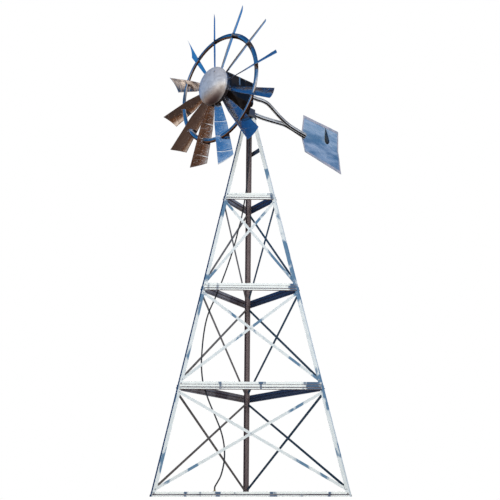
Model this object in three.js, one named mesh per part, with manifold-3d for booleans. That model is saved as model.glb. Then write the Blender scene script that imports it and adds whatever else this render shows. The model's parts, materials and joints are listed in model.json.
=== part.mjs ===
// Pond aeration windmill: a three-legged lattice tower, a head that yaws on the mast
// with a folded tail vane, and a twelve-blade wheel on a level axle.
// Millimetres, +Z up. The origin is the middle of the front sill's underside, and the
// mast stands behind it on +Y.

import * as THREE from 'three';
import { mergeVertices } from 'three/addons/utils/BufferGeometryUtils.js';
import Module from 'manifold-3d';

const wasm = await Module();
wasm.setup();

// ---------- driving dimensions ----------

const gap = 0.3; // between pieces that touch
const overlap = 1; // how far two shapes of one piece run into each other

const tower = {
  footWidth: 1950, // across the front feet, where the legs' outer lines would meet
  topWidth: 137, // the same across the tops of the legs
  legTop: 4200,
  bayHeight: 1058, // from one girt's middle to the next
  sillMiddle: 24,
  levels: 3, // girts above the sill
};

const leg = { facet: 32, flange: 34, sheet: 3 };

const girt = { height: 82, flatHeight: 28, step: 10, slope: 6, sheet: 3, lip: 8 };

const sill = { height: 46, flatHeight: 24, step: 9, slope: 5.4, sheet: 3 };

const brace = { width: 28, sheet: 3, bite: 0.1, endInset: 19, clearOfGirt: 24 };

const mast = {
  pipeRadius: 30,
  pipeWall: 4,
  pipeDrop: 190, // from the leg tops down to the pipe's lower end
  capRadius: 84,
  capSheet: 8,
  guideDrop: 125, // from the leg tops down to the guide plate
  guideSheet: 6,
  runningGap: 1, // round the pipe inside the swivel
  turnGap: 5, // between the cap and the turning swivel
};

const sideBar = { drop: 380, depth: 50, sheet: 4 };

// Heights in the head, the casing, the arms and the vane are above the mast cap.
const head = {
  yaw: -138, // direction the wheel faces, from +X about +Z
  axleHeight: 214,
  swivelRadius: 74,
  swivelFlange: 11,
  swivelBlock: 96, // side of the block round the pipe
  swivelTop: 110,
  pipeCover: 24, // solid metal above the pipe's end
};

const casing = {
  halfWidth: 100,
  rear: 30,
  front: 426,
  top: 396,
  noseBottom: 196,
  bottom: 32,
  bottomFront: 150,
  chamferTop: 138,
  bottomHalfWidth: 40,
};

const wheel = {
  clearOfCasing: 26, // from the casing's front to the plane of the blade tips
  rootForward: 74, // how far the cone of blades would lead that plane at the axle
  tipRadius: 939,
  blades: 12,
  firstBlade: -7, // degrees from straight up, clockwise seen from the front
};

const blade = {
  rootPitch: 52, // degrees from the wheel's plane
  tipPitch: 39,
  tipCut: 98, // the trailing edge stops this much short of the leading one
  rootWidth: 70,
  shoulderWidth: 142,
  tipWidth: 188,
  shoulderRadius: 450,
  camber: 0.085, // depth as a share of the width
  sheet: 2,
  across: 8, // facets over the width
  stations: 7,
};

const ring = {
  radius: 603,
  width: 58,
  sheet: 2.4,
  crown: 40, // the rounded face's foremost line, ahead of the tip plane
  arc: 58, // half the angle that the rounded face turns through
  arcFacets: 6,
  facets: 48,
};

// The drum stands this far ahead of the tip plane; its axle reaches back into the casing.
const hub = { radius: 196, ahead: 30, depth: 72, axleRadius: 20, axleBite: 96 };

const dome = { overhang: 22, sheet: 4, height: 104, brim: 12, rings: 8, facets: 48 };

const tail = {
  armHeight: 60,
  armDepth: 22,
  armSheet: 3,
  ridge: 8,
  steps: 30,
};

// Side views of the two arms, behind the mast: distance back from the mast axis, height.
// The upper arm starts on the casing's rear wall, the lower one on the swivel block.
const upperArmLine = [[gap - casing.rear, 272], [90, 272], [190, 282], [285, 270], [392, 216],
  [529, 150], [651, 111], [792, 89], [935, 73]];
const lowerArmLine = [[head.swivelBlock / 2 + gap, 77], [200, 77], [400, 94], [560, 110],
  [680, 103], [800, 83], [940, 56]];

const vane = {
  sheet: 2,
  fold: 22, // how far the crease stands behind the two long edges
  topFront: [933, 351],
  topRear: [1592, 329],
  creaseFront: [910, 71],
  creaseRear: [1610, 72],
  bottomFront: [949, -135],
  bottomRear: [1628, -245],
};

// Air hose: hangs from the mast pipe, bows out to one side and ends in a fitting that a
// small bracket holds behind the front sill.
const hose = { radius: 7.5, sides: 8, steps: 80 };
const hosePoints = [[0, 0, 3994], [0, 0, 3900], [-6, 2, 3700], [-20, 5, 3480], [-40, 6, 3290],
  [-64, 3, 3140], [-90, -8, 2990], [-122, -24, 2860], [-158, -52, 2700], [-224, -97, 2467],
  [-298, -147, 2241], [-337, -173, 2135], [-376, -199, 2025], [-430, -228, 1893], [-466, -257, 1758],
  [-490, -288, 1583], [-502, -320, 1389], [-501, -341, 1273], [-486, -363, 1136], [-459, -382, 1043],
  [-421, -403, 930], [-361, -430, 790], [-304, -456, 649], [-273, -478, 535], [-260, -497, 423],
  [-266, -512, 317], [-292, -526, 205], [-325, -534, 138], [-349, -537, 98], [-353, -537, 78],
  [-353, -537, 64]];
const hoseSocket = { plugHeight: 7, collarRadius: 12 };
const hoseFitting = { collarRadius: 12, collarHeight: 15, shankRadius: 9, shankHeight: 36 };
const hoseBracket = { width: 34, sheet: 3, flange: 20, behind: 16, height: 32 };

// ---------- values that follow ----------

const radians = THREE.MathUtils.degToRad;
const faceTurn = Math.cos(radians(30));
const halfFacet = leg.facet / 2;

// Distance from the mast axis to the middle of a leg's outer facet.
function legRadius(z) {
  const width = THREE.MathUtils.lerp(tower.footWidth, tower.topWidth, z / tower.legTop);
  return (width / 2 - halfFacet / 2) / faceTurn;
}
const legLean = (legRadius(0) - legRadius(tower.legTop)) / tower.legTop;
const faceLean = legLean / 2;

// Distance from the mast axis to a face's outer plane, and half that face's width.
const faceDistance = (z) => legRadius(z) / 2 + halfFacet * faceTurn;
const faceHalfWidth = (z) => legRadius(z) * faceTurn - halfFacet / 2;
const levelHeight = (level) => tower.sillMiddle + level * tower.bayHeight;

const capTop = tower.legTop + gap + mast.capSheet;
const pipeBottom = tower.legTop - mast.pipeDrop;
const pipeTop = capTop + head.swivelTop - head.pipeCover;
const guideBottom = tower.legTop - mast.guideDrop;
const blockBottom = mast.turnGap + head.swivelFlange; // above the cap, as all of the head
const tipPlane = casing.front + wheel.clearOfCasing;
const hubRear = tipPlane + hub.ahead;
const hubFront = hubRear + hub.depth;
const axleRear = casing.front - hub.axleBite;
const mastFromOrigin = faceDistance(0) + gap + (sill.step + sill.sheet) / 2; // along +Y

const faces = [['front', 0], ['right', 120], ['left', -120]];
const legs = [['back', 90], ['front_left', 210], ['front_right', 330]];

const finishes = {
  galvanised: { color: 0xc2ccd0, roughness: 0.38, metalness: 0.9 },
  girtSheet: { color: 0xccd6da, roughness: 0.34, metalness: 0.9 },
  bladeSheet: { color: 0xa9b6c2, roughness: 0.22, metalness: 1 },
  vaneSheet: { color: 0x93a5b8, roughness: 0.35, metalness: 0.95 },
  spunSheet: { color: 0xc6cccf, roughness: 0.28, metalness: 0.95 },
  blackPaint: { color: 0x141315, roughness: 0.5, metalness: 0.2 },
  darkSteel: { color: 0x4c4f54, roughness: 0.5, metalness: 0.8 },
  hoseRubber: { color: 0x121314, roughness: 0.6, metalness: 0 },
  brass: { color: 0xa98c4e, roughness: 0.35, metalness: 0.9 },
};

// ---------- helpers ----------

const part = new THREE.Group();
const towerGroup = new THREE.Group();
const headGroup = new THREE.Group();
const wheelGroup = new THREE.Group();
towerGroup.position.y = mastFromOrigin;
headGroup.position.z = capTop;
headGroup.rotation.z = radians(head.yaw);
wheelGroup.position.z = head.axleHeight;
part.add(towerGroup);
towerGroup.add(headGroup);
headGroup.add(wheelGroup);

function addMesh(group, name, geometry, finish) {
  const mesh = new THREE.Mesh(geometry, new THREE.MeshStandardMaterial(finishes[finish]));
  mesh.name = name;
  group.add(mesh);
  return mesh;
}

function outline(points) {
  return new THREE.Shape(points.map(([x, y]) => new THREE.Vector2(x, y)));
}

function disc(radius) {
  const shape = new THREE.Shape();
  shape.absarc(0, 0, radius, 0, Math.PI * 2);
  return shape;
}

// Cuts a round hole through the middle of a flat outline.
function drill(shape, radius) {
  const hole = new THREE.Path();
  hole.absarc(0, 0, radius, 0, Math.PI * 2, true);
  shape.holes.push(hole);
  return shape;
}

function extrude(shape, depth) {
  return new THREE.ExtrudeGeometry(shape, { depth, bevelEnabled: false, curveSegments: 12 });
}

// An outline drawn in (inward, up), extruded along X and centred on it.
function extrudeAlongX(points, length) {
  const geometry = extrude(outline(points), length);
  geometry.rotateX(Math.PI / 2);
  geometry.rotateZ(Math.PI / 2);
  geometry.translate(-length / 2, 0, 0);
  return geometry;
}

// Leans a piece drawn upright on a face's outer plane into its place on that face.
function leanOnFace(geometry) {
  const lean = new THREE.Matrix4().makeShear(0, 0, 0, 0, 0, faceLean);
  geometry.applyMatrix4(lean);
  geometry.translate(0, -faceDistance(0), 0);
  return geometry;
}

function toSolid(geometry) {
  const bare = geometry.clone();
  bare.deleteAttribute('normal');
  bare.deleteAttribute('uv');
  const welded = mergeVertices(bare, 1e-4);
  const vertProperties = new Float32Array(welded.attributes.position.array);
  const triVerts = new Uint32Array(welded.index.array);
  return new wasm.Manifold(new wasm.Mesh({ numProp: 3, vertProperties, triVerts }));
}

function toGeometry(solid) {
  const mesh = solid.getMesh();
  return indexed(Array.from(mesh.vertProperties), Array.from(mesh.triVerts));
}

function upright(radius, bottom, top, facets = 32) {
  const geometry = new THREE.CylinderGeometry(radius, radius, top - bottom, facets);
  geometry.rotateX(Math.PI / 2);
  geometry.translate(0, 0, (top + bottom) / 2);
  return geometry;
}

function level(radius, rear, front, facets = 32) {
  const geometry = new THREE.CylinderGeometry(radius, radius, front - rear, facets);
  geometry.rotateZ(-Math.PI / 2);
  geometry.translate((front + rear) / 2, 0, 0);
  return geometry;
}

function indexed(positions, index) {
  const geometry = new THREE.BufferGeometry();
  geometry.setAttribute('position', new THREE.Float32BufferAttribute(positions, 3));
  geometry.setIndex(index);
  geometry.computeVertexNormals();
  return geometry;
}

// Skins a row of loops, each anticlockwise seen along the row, and closes both ends.
function loftGeometry(loops, ends) {
  const count = loops[0].length;
  const last = (loops.length - 1) * count;
  const index = [];
  for (let start = 0; start < last; start += count) {
    for (let i = 0; i < count; i += 1) {
      const a = start + i;
      const b = start + (i + 1) % count;
      index.push(a, b, b + count, a, b + count, a + count);
    }
  }
  for (const [a, b, c] of ends) index.push(c, b, a, last + a, last + b, last + c);
  return indexed(loops.flat().flat(), index);
}

// Triangles over an anticlockwise outline.
function endTriangles(section) {
  const points = section.map(([x, y]) => new THREE.Vector2(x, y));
  return THREE.ShapeUtils.triangulateShape(points, []).map(([a, b, c]) => {
    const turn = THREE.ShapeUtils.area([points[a], points[b], points[c]]);
    return turn > 0 ? [a, b, c] : [c, b, a];
  });
}

// ---------- tower ----------

// Plan of a leg: an outer facet and two flanges that lie in the tower's faces.
function legSection() {
  const along = (distance, side) => [
    -distance * faceTurn, side * (halfFacet + distance * 0.5)];
  const inner = leg.sheet * Math.tan(radians(30));
  const innerAlong = (distance, side) => {
    const [x, y] = along(distance, side);
    return [x - leg.sheet * 0.5, y - side * leg.sheet * faceTurn];
  };
  return [
    along(leg.flange, -1), along(0, -1), along(0, 1), along(leg.flange, 1),
    innerAlong(leg.flange, 1), innerAlong(inner, 1), innerAlong(inner, -1), innerAlong(leg.flange, -1)];
}

function makeLeg([side, angle]) {
  const geometry = extrude(outline(legSection()), tower.legTop);
  geometry.applyMatrix4(new THREE.Matrix4().makeShear(0, 0, 0, 0, -legLean, 0));
  geometry.translate(legRadius(0), 0, 0);
  geometry.rotateZ(radians(angle));
  addMesh(towerGroup, `leg_${side}`, geometry, 'galvanised');
}

// Formed girt: a flat band against the legs, then a proud band with a lip under it.
function girtSection(size, middle) {
  const top = middle + size.height / 2;
  const stepTop = top - size.flatHeight;
  const stepBottom = stepTop - size.slope;
  const bottom = middle - size.height / 2;
  return [
    [0, top], [-size.sheet, top], [-size.sheet, stepTop], [-size.step - size.sheet, stepBottom],
    [-size.step - size.sheet, bottom], [size.lip - size.step, bottom],
    [size.lip - size.step, bottom + size.sheet], [-size.step, bottom + size.sheet],
    [-size.step, stepBottom - size.sheet], [0, stepTop - size.sheet]];
}

// The sill is lower, and its lip lies flat on the ground in front of the legs.
function sillSection(size) {
  const stepTop = size.height - size.flatHeight;
  return [
    [0, size.height], [-size.sheet, size.height], [-size.sheet, stepTop],
    [-size.step - size.sheet, stepTop - size.slope], [-size.step - size.sheet, 0],
    [0, 0], [0, size.sheet], [-size.step, size.sheet],
    [-size.step, stepTop - size.slope - size.sheet], [0, stepTop - size.sheet]];
}

function makeGirt([side, turn], atLevel) {
  const isSill = atLevel === 0;
  const top = isSill ? sill.height : levelHeight(atLevel) + girt.height / 2;
  const length = 2 * (faceHalfWidth(top) - gap);
  const section = isSill ? sillSection(sill) : girtSection(girt, levelHeight(atLevel));
  const geometry = leanOnFace(extrudeAlongX(section, length));
  geometry.translate(0, -gap, 0);
  geometry.rotateZ(radians(turn));
  const name = isSill ? `sill_${side}` : `girt_${side}_${atLevel}`;
  addMesh(towerGroup, name, geometry, 'girtSheet');
}

// One flat diagonal, drawn on the face at the given depth behind its outer plane.
function diagonal(fromX, fromZ, toX, toZ, depth) {
  const run = Math.hypot(toX - fromX, toZ - fromZ);
  const shape = outline([[0, -brace.width / 2], [run, -brace.width / 2],
    [run, brace.width / 2], [0, brace.width / 2]]);
  const geometry = extrude(shape, brace.sheet);
  geometry.rotateX(Math.PI / 2);
  geometry.translate(0, brace.sheet, 0);
  geometry.rotateY(-Math.atan2(toZ - fromZ, toX - fromX));
  geometry.translate(fromX, depth, fromZ);
  return geometry;
}

function makeBrace([side, turn], bay) {
  const lowTop = bay === 1 ? sill.height : levelHeight(bay - 1) + girt.height / 2;
  const low = lowTop + brace.clearOfGirt;
  const high = levelHeight(bay) - girt.height / 2 - brace.clearOfGirt;
  const lowX = faceHalfWidth(low) - brace.endInset;
  const highX = faceHalfWidth(high) - brace.endInset;
  const outer = leg.sheet + gap;
  const first = toSolid(diagonal(-lowX, low, highX, high, outer));
  const second = toSolid(diagonal(lowX, low, -highX, high, outer + brace.sheet - brace.bite));
  const geometry = leanOnFace(toGeometry(first.add(second)));
  geometry.rotateZ(radians(turn));
  addMesh(towerGroup, `brace_${side}_${bay}`, geometry, 'galvanised');
}

// Plate that fills the plan between the three legs, with the mast pipe through it.
function makeGuidePlate() {
  const top = guideBottom + mast.guideSheet;
  const toLeg = legRadius(top) - leg.sheet - gap;
  const toFace = faceDistance(top) - leg.sheet - gap;
  const halfCorner = (toFace - toLeg / 2) / faceTurn;
  const corners = legs.flatMap(([, angle]) => [-halfCorner, halfCorner].map((side) => {
    const [cos, sin] = [Math.cos(radians(angle)), Math.sin(radians(angle))];
    return [toLeg * cos - side * sin, toLeg * sin + side * cos];
  }));
  const geometry = extrude(drill(outline(corners), mast.pipeRadius + gap), mast.guideSheet);
  geometry.translate(0, 0, guideBottom);
  addMesh(towerGroup, 'mast_guide_plate', geometry, 'darkSteel');
}

function makeMast() {
  const tube = drill(disc(mast.pipeRadius), mast.pipeRadius - mast.pipeWall);
  const pipe = extrude(tube, pipeTop - pipeBottom);
  pipe.translate(0, 0, pipeBottom);
  addMesh(towerGroup, 'mast_pipe', pipe, 'darkSteel');

  const cap = extrude(drill(disc(mast.capRadius), mast.pipeRadius + gap), mast.capSheet);
  cap.translate(0, 0, tower.legTop + gap);
  addMesh(towerGroup, 'mast_cap', cap, 'darkSteel');
}

// Short flat bar between the back leg and the front right leg, just below the head.
function makeSideBar() {
  const top = tower.legTop - sideBar.drop + sideBar.depth / 2;
  const bottom = top - sideBar.depth;
  const section = [[0, top], [-sideBar.sheet, top], [-sideBar.sheet, bottom], [0, bottom]];
  const geometry = leanOnFace(extrudeAlongX(section, 2 * (faceHalfWidth(top) - gap)));
  geometry.translate(0, -gap, 0);
  geometry.rotateZ(radians(120));
  addMesh(towerGroup, 'side_bar', geometry, 'darkSteel');
}

// ---------- air hose ----------

function makeHose() {
  const curve = new THREE.CatmullRomCurve3(hosePoints.map((p) => new THREE.Vector3(...p)));
  const section = [];
  for (let i = 0; i < hose.sides; i += 1) {
    const angle = (i / hose.sides) * Math.PI * 2;
    section.push([hose.radius * Math.cos(angle), hose.radius * Math.sin(angle)]);
  }
  const geometry = new THREE.ExtrudeGeometry(outline(section), { steps: hose.steps, extrudePath: curve });
  addMesh(towerGroup, 'air_hose', geometry, 'hoseRubber');
}

// Plug in the foot of the mast pipe, with a short collar that the hose hangs from.
function makeHoseSocket() {
  const hoseTop = hosePoints[0][2];
  const plugBottom = pipeBottom - gap - hoseSocket.plugHeight;
  const plug = toSolid(upright(mast.pipeRadius, plugBottom, pipeBottom - gap));
  const collar = toSolid(upright(hoseSocket.collarRadius, hoseTop + gap, plugBottom + overlap));
  addMesh(towerGroup, 'hose_socket', toGeometry(plug.add(collar)), 'brass');
}

// Six-sided collar on a round shank, straight under the hose's lower end.
function makeHoseFitting() {
  const [x, y, z] = hosePoints.at(-1);
  const { collarRadius, collarHeight, shankRadius, shankHeight } = hoseFitting;
  const top = z - gap;
  const collar = toSolid(upright(collarRadius, top - collarHeight, top, 6));
  const shank = toSolid(upright(shankRadius, top - collarHeight - shankHeight, top - overlap, 24));
  const geometry = toGeometry(collar.add(shank));
  geometry.translate(x, y, 0);
  addMesh(towerGroup, 'hose_fitting', geometry, 'brass');
}

// Angle bracket on the back of the front sill, with a hole for the fitting's shank.
function makeHoseBracket() {
  const [x, y] = hosePoints.at(-1);
  const { width, sheet, flange, behind, height } = hoseBracket;
  const sillBack = -faceDistance(height + flange) + leg.sheet + gap;
  const rear = y + behind;
  const profile = [[sillBack, height], [sillBack, height + flange], [sillBack + sheet, height + flange],
    [sillBack + sheet, height + sheet], [rear, height + sheet], [rear, height]];
  const angle = extrudeAlongX(profile, width);
  angle.translate(x, 0, 0);
  const hole = upright(hoseFitting.shankRadius + gap, 0, hosePoints.at(-1)[2]);
  hole.translate(x, y, 0);
  addMesh(towerGroup, 'hose_bracket', toGeometry(toSolid(angle).subtract(toSolid(hole))), 'galvanised');
}

// ---------- head ----------

function makeSwivel() {
  const { swivelBlock, swivelTop } = head;
  const flange = toSolid(upright(head.swivelRadius, mast.turnGap, blockBottom + overlap, 48));
  const block = new THREE.BoxGeometry(swivelBlock, swivelBlock, swivelTop - blockBottom);
  block.translate(0, 0, (swivelTop + blockBottom) / 2);
  const boreTop = swivelTop - head.pipeCover + mast.turnGap;
  const bore = upright(mast.pipeRadius + mast.runningGap, 0, boreTop, 48);
  const solid = flange.add(toSolid(block)).subtract(toSolid(bore));
  addMesh(headGroup, 'swivel', toGeometry(solid), 'darkSteel');
}

function makeCasing() {
  const { rear, front, top, noseBottom, bottom, bottomFront } = casing;
  const swivelFront = head.swivelBlock / 2 + gap;
  const side = outline([[rear, top], [rear, head.swivelTop + gap], [swivelFront, head.swivelTop + gap],
    [swivelFront, bottom], [bottomFront, bottom], [front, noseBottom], [front, top]]);
  const sideSolid = extrude(side, casing.halfWidth * 2);
  sideSolid.rotateX(Math.PI / 2);
  sideSolid.translate(0, casing.halfWidth, 0);
  const across = [[-casing.halfWidth, casing.top], [-casing.halfWidth, casing.chamferTop],
    [-casing.bottomHalfWidth, casing.bottom], [casing.bottomHalfWidth, casing.bottom],
    [casing.halfWidth, casing.chamferTop], [casing.halfWidth, casing.top]];
  const acrossSolid = extrudeAlongX(across, 2 * front);
  const axleHole = level(hub.axleRadius + mast.runningGap, axleRear - mast.turnGap, front + overlap);
  axleHole.translate(0, 0, head.axleHeight);
  const solid = toSolid(sideSolid).intersect(toSolid(acrossSolid)).subtract(toSolid(axleHole));
  addMesh(headGroup, 'casing', toGeometry(solid), 'blackPaint');
}

// ---------- tail ----------

// Hat-shaped channel, drawn as (across the arm, out of its plane).
function armSection() {
  const { armHeight, armDepth, armSheet, ridge } = tail;
  const half = armHeight / 2;
  const rise = armDepth;
  return [
    [-half, 0], [-half, armSheet], [-half + ridge, armSheet], [-half + ridge * 2, rise],
    [half - ridge * 2, rise], [half - ridge, armSheet], [half, armSheet], [half, 0],
    [half - ridge - armSheet, 0], [half - ridge * 2 - armSheet, rise - armSheet],
    [-half + ridge * 2 + armSheet, rise - armSheet], [-half + ridge + armSheet, 0]];
}

function makeArm(name, line, offset) {
  const curve = new THREE.CatmullRomCurve3(line.map(([back, z]) => new THREE.Vector3(-back, 0, z)));
  const section = armSection().reverse();
  const loops = [];
  for (let i = 0; i <= tail.steps; i += 1) {
    const point = curve.getPointAt(i / tail.steps);
    const tangent = curve.getTangentAt(i / tail.steps);
    const up = new THREE.Vector3(tangent.z, 0, -tangent.x);
    loops.push(section.map(([u, v]) => [point.x + up.x * u, offset + v, point.z + up.z * u]));
  }
  addMesh(headGroup, name, loftGeometry(loops, endTriangles(section)), 'galvanised');
}

// One sheet folded along a level crease that stands away from the arms' side.
function makeVane() {
  const at = ([back, z], out) => [-back, out, z];
  const sheetOf = (shift) => [
    at(vane.topFront, shift), at(vane.topRear, shift),
    at(vane.creaseRear, shift - vane.fold), at(vane.bottomRear, shift),
    at(vane.bottomFront, shift), at(vane.creaseFront, shift - vane.fold)];
  const positions = [...sheetOf(0), ...sheetOf(-vane.sheet)].flat();
  const skin = [[0, 1, 2], [0, 2, 5], [5, 2, 3], [5, 3, 4]];
  const index = [];
  for (const [a, b, c] of skin) index.push(c, b, a, a + 6, b + 6, c + 6);
  for (let i = 0; i < 6; i += 1) {
    const next = (i + 1) % 6;
    index.push(next + 6, i + 6, i, next, next + 6, i);
  }
  addMesh(headGroup, 'tail_vane', indexed(positions, index), 'vaneSheet');
}

// ---------- wheel ----------

function makeHub() {
  const drum = toSolid(level(hub.radius, hubRear, hubFront, 48));
  const axle = toSolid(level(hub.axleRadius, axleRear, hubRear + overlap));
  addMesh(wheelGroup, 'hub', toGeometry(drum.add(axle)), 'darkSteel');
}

// Spun cap: a shallow bowl over the hub's front, open at the back.
function makeDome() {
  const radius = hub.radius + dome.overhang;
  const inset = radius - dome.sheet;
  const share = (i) => Math.sin((i / dome.rings) * Math.PI / 2);
  const rise = (i) => dome.brim + dome.height * Math.sqrt(1 - share(i) ** 2);
  const outside = [];
  const inside = [];
  for (let i = 0; i <= dome.rings; i += 1) {
    outside.push(new THREE.Vector2(radius * share(i), rise(i)));
    inside.unshift(new THREE.Vector2(inset * share(i), rise(i) - dome.sheet));
  }
  const brim = [new THREE.Vector2(radius, 0), new THREE.Vector2(inset, 0)];
  const geometry = new THREE.LatheGeometry([...outside, ...brim, ...inside].reverse(), dome.facets);
  geometry.rotateZ(-Math.PI / 2);
  geometry.translate(hubFront - dome.brim + gap, 0, 0);
  addMesh(wheelGroup, 'hub_cap', geometry, 'spunSheet');
}

// Half-round band rolled into a hoop, rounded side to the front.
function ringGeometry(clear) {
  const arc = radians(ring.arc);
  const bend = ring.width / 2 / Math.sin(arc);
  const reach = arc + clear / bend;
  const thick = ring.sheet / 2 + clear;
  const corner = (turn, v) => new THREE.Vector2(
    ring.radius + Math.sin(turn) * (bend + v),
    ring.crown - bend + Math.cos(turn) * (bend + v),
  );
  const profile = [];
  for (let i = 0; i <= ring.arcFacets; i += 1) {
    profile.push(corner(reach * (i / ring.arcFacets * 2 - 1), -thick));
  }
  for (let i = ring.arcFacets; i >= 0; i -= 1) {
    profile.push(corner(reach * (i / ring.arcFacets * 2 - 1), thick));
  }
  profile.push(profile[0].clone());
  const geometry = new THREE.LatheGeometry(profile, ring.facets);
  geometry.rotateZ(-Math.PI / 2);
  geometry.rotateX(radians(-wheel.firstBlade));
  geometry.translate(tipPlane, 0, 0);
  return geometry;
}

function bladeWidth(radius) {
  const { mapLinear } = THREE.MathUtils;
  const { rootWidth, shoulderWidth, tipWidth, shoulderRadius } = blade;
  if (radius < shoulderRadius) {
    return mapLinear(radius, hub.radius, shoulderRadius, rootWidth, shoulderWidth);
  }
  return mapLinear(radius, shoulderRadius, wheel.tipRadius, shoulderWidth, tipWidth);
}

function bladePitch(radius) {
  const { mapLinear } = THREE.MathUtils;
  return radians(mapLinear(radius, hub.radius, wheel.tipRadius, blade.rootPitch, blade.tipPitch));
}

// One curved and twisted blade that points straight up, in the wheel's own place.
function bladeGeometry() {
  const section = [];
  for (let i = 0; i <= blade.across; i += 1) section.push([i / blade.across * 2 - 1, 0.5]);
  for (let i = blade.across; i >= 0; i -= 1) section.push([i / blade.across * 2 - 1, -0.5]);
  const root = hub.radius + gap;
  const shares = [];
  for (let i = 0; i <= blade.stations; i += 1) shares.push(i / blade.stations);
  const loops = shares.map((share) => section.map(([u, v]) => {
    const station = THREE.MathUtils.lerp(root, wheel.tipRadius, share);
    const reach = station - share * blade.tipCut * (1 - u) / 2;
    const width = bladeWidth(reach);
    const pitch = bladePitch(reach);
    const forward = tipPlane + wheel.rootForward * (1 - reach / wheel.tipRadius);
    const along = u * width / 2;
    const out = blade.camber * width * (u * u - 0.5) + v * blade.sheet;
    return [
      forward + Math.sin(pitch) * along + Math.cos(pitch) * out,
      Math.cos(pitch) * along - Math.sin(pitch) * out,
      reach,
    ];
  }));
  const ends = [];
  const last = section.length - 1;
  for (let i = 0; i < blade.across; i += 1) {
    ends.push([i, i + 1, last - i - 1], [i, last - i - 1, last - i]);
  }
  return loftGeometry(loops, ends);
}

function makeBlades() {
  const plain = bladeGeometry();
  const upRing = ringGeometry(gap);
  upRing.translate(-tipPlane, 0, 0);
  upRing.rotateX(radians(wheel.firstBlade));
  upRing.translate(tipPlane, 0, 0);
  const slotted = toGeometry(toSolid(plain).subtract(toSolid(upRing)));
  for (let i = 0; i < wheel.blades; i += 1) {
    const number = String(i + 1).padStart(2, '0');
    const mesh = addMesh(wheelGroup, `blade_${number}`, slotted.clone(), 'bladeSheet');
    mesh.rotation.x = -radians(wheel.firstBlade + i * 360 / wheel.blades);
  }
}

// ---------- assembly ----------

legs.forEach(makeLeg);
for (const face of faces) {
  for (let atLevel = 0; atLevel <= tower.levels; atLevel += 1) makeGirt(face, atLevel);
  for (let bay = 1; bay <= tower.levels; bay += 1) makeBrace(face, bay);
}
makeGuidePlate();
makeMast();
makeSideBar();
makeHose();
makeHoseSocket();
makeHoseFitting();
makeHoseBracket();
makeSwivel();
makeCasing();
makeArm('tail_arm_upper', upperArmLine, tail.armDepth + 2 * gap);
makeArm('tail_arm_lower', lowerArmLine, gap);
makeVane();
makeHub();
makeDome();
addMesh(wheelGroup, 'wheel_ring', ringGeometry(0), 'bladeSheet');
makeBlades();

export default part;
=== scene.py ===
import json
import math

import bmesh
import bpy
from mathutils import Matrix, Vector, noise


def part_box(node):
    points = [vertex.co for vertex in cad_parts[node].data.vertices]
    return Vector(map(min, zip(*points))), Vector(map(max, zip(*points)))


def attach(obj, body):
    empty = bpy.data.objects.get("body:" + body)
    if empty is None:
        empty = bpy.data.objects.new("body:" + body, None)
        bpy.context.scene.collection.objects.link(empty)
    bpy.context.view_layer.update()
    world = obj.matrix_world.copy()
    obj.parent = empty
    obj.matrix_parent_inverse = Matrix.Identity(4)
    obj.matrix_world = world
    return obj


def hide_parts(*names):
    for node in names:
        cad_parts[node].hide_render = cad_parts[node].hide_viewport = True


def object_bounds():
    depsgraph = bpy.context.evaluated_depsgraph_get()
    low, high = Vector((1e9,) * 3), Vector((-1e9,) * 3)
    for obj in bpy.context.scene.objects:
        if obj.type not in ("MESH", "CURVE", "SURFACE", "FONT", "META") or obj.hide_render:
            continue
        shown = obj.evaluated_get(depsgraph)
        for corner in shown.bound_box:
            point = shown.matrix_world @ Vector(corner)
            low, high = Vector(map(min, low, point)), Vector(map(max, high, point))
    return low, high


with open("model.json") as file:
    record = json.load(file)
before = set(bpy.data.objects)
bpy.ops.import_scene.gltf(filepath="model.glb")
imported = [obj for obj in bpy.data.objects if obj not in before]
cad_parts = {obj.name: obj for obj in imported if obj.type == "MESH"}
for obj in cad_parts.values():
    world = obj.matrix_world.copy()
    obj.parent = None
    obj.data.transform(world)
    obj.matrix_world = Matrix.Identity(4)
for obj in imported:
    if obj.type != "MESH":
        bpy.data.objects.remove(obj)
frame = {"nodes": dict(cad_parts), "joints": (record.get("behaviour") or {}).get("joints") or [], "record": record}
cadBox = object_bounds()
scene = bpy.context.scene
scene.view_settings.view_transform = "Standard"
print("frame loaded:", len(frame["nodes"]), "nodes")


# places that everything hangs on, read from the frame

joints = {joint["name"]: joint for joint in frame["joints"]}
wheelCentre = Vector(joints["wheel_spin"]["pos_m"])
wheelAxis = Vector(joints["wheel_spin"]["axis"]).normalized()
headYaw = math.atan2(wheelAxis.y, wheelAxis.x)
capLow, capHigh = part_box("mast_cap")
mastAxis = Vector(((capLow.x + capHigh.x) / 2, (capLow.y + capHigh.y) / 2, 0))
capTop = capHigh.z

# the head's own space: X towards the wheel, heights above the mast cap
headSpace = Matrix.Translation(mastAxis + Vector((0, 0, capTop))) @ Matrix.Rotation(headYaw, 4, "Z")
# the wheel's own space: X along the axle from the plane of the blade tips
wheelSpace = Matrix.Translation(wheelCentre) @ Matrix.Rotation(headYaw, 4, "Z")


# camera

camera = {"place": (-0.314, -8.367, 0.040), "pitch": 14.461, "yaw": -2.061, "lens": 60.69, "shiftUp": 0.05}


def makeCamera():
    data = bpy.data.cameras.new("camera")
    data.lens = camera["lens"]
    data.sensor_width = 36
    data.shift_y = camera["shiftUp"]
    data.clip_end = 400
    eye = bpy.data.objects.new("camera", data)
    eye.location = camera["place"]
    eye.rotation_euler = (math.radians(90 + camera["pitch"]), 0, math.radians(camera["yaw"]))
    scene.collection.objects.link(eye)
    scene.camera = eye


# node helpers

def addNode(tree, kind, inputs=None, **settings):
    made = tree.nodes.new(kind)
    for name, value in settings.items():
        setattr(made, name, value)
    for name, value in (inputs or {}).items():
        socket = made.inputs[name]
        if isinstance(value, bpy.types.NodeSocket):
            tree.links.new(value, socket)
        else:
            socket.default_value = value
    return made


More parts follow.
